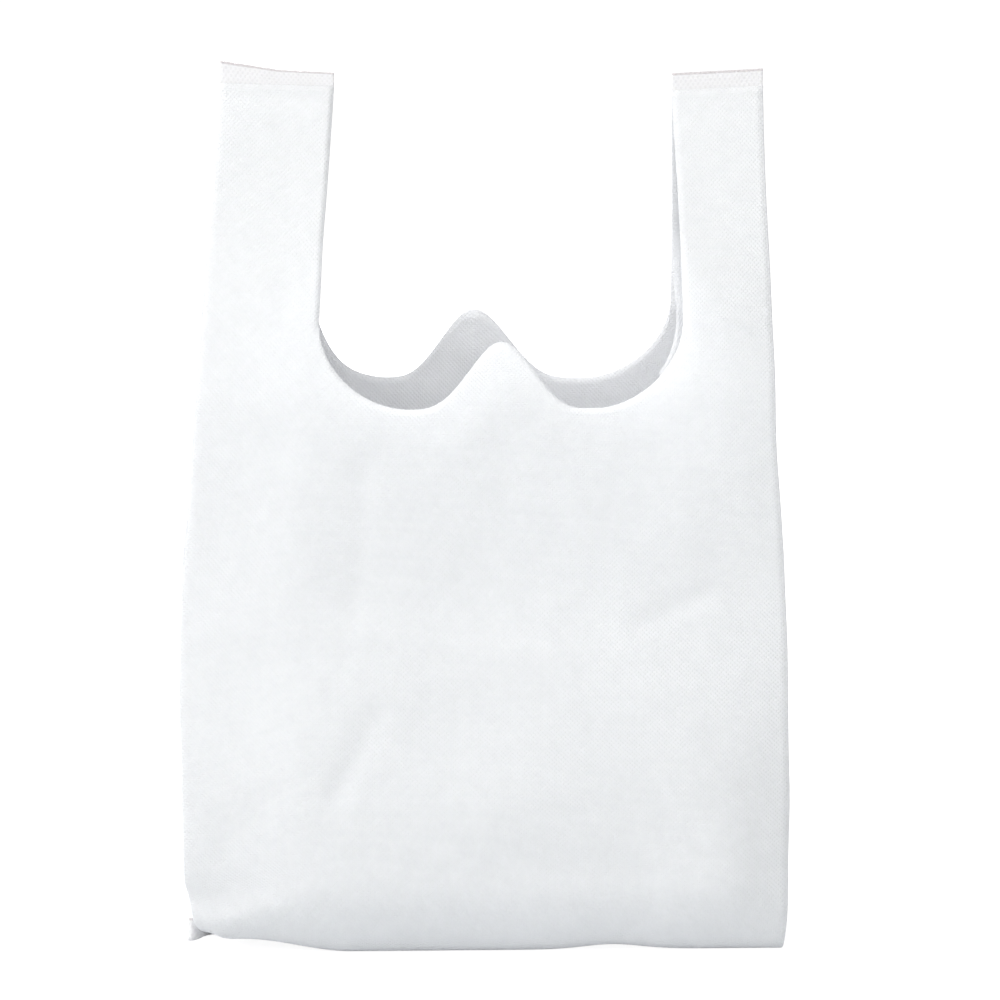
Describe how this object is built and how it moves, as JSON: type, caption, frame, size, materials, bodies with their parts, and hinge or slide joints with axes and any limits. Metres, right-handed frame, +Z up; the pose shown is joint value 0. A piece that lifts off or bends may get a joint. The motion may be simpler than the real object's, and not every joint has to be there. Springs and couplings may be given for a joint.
{
  "type": "non-woven shopping bag",
  "caption": "White non-woven fabric carrier bag with side gussets, a die-cut mouth with a tongue, and handles cut in one with the body, standing open.",
  "frame": {"origin": "middle of the base on the surface the bag stands on", "axes": "+X to the right seen from the front panel, +Y from the front panel to the back panel, +Z up to the handles"},
  "size_m": [0.3026, 0.0976, 0.446],
  "materials": {
    "nonwoven": "white spunbond polypropylene with a fine bonded point pattern, matt with a slight sheen, slightly translucent"
  },
  "bodies": {
    "root": {"bag": "nonwoven"}
  },
  "joints": []
}
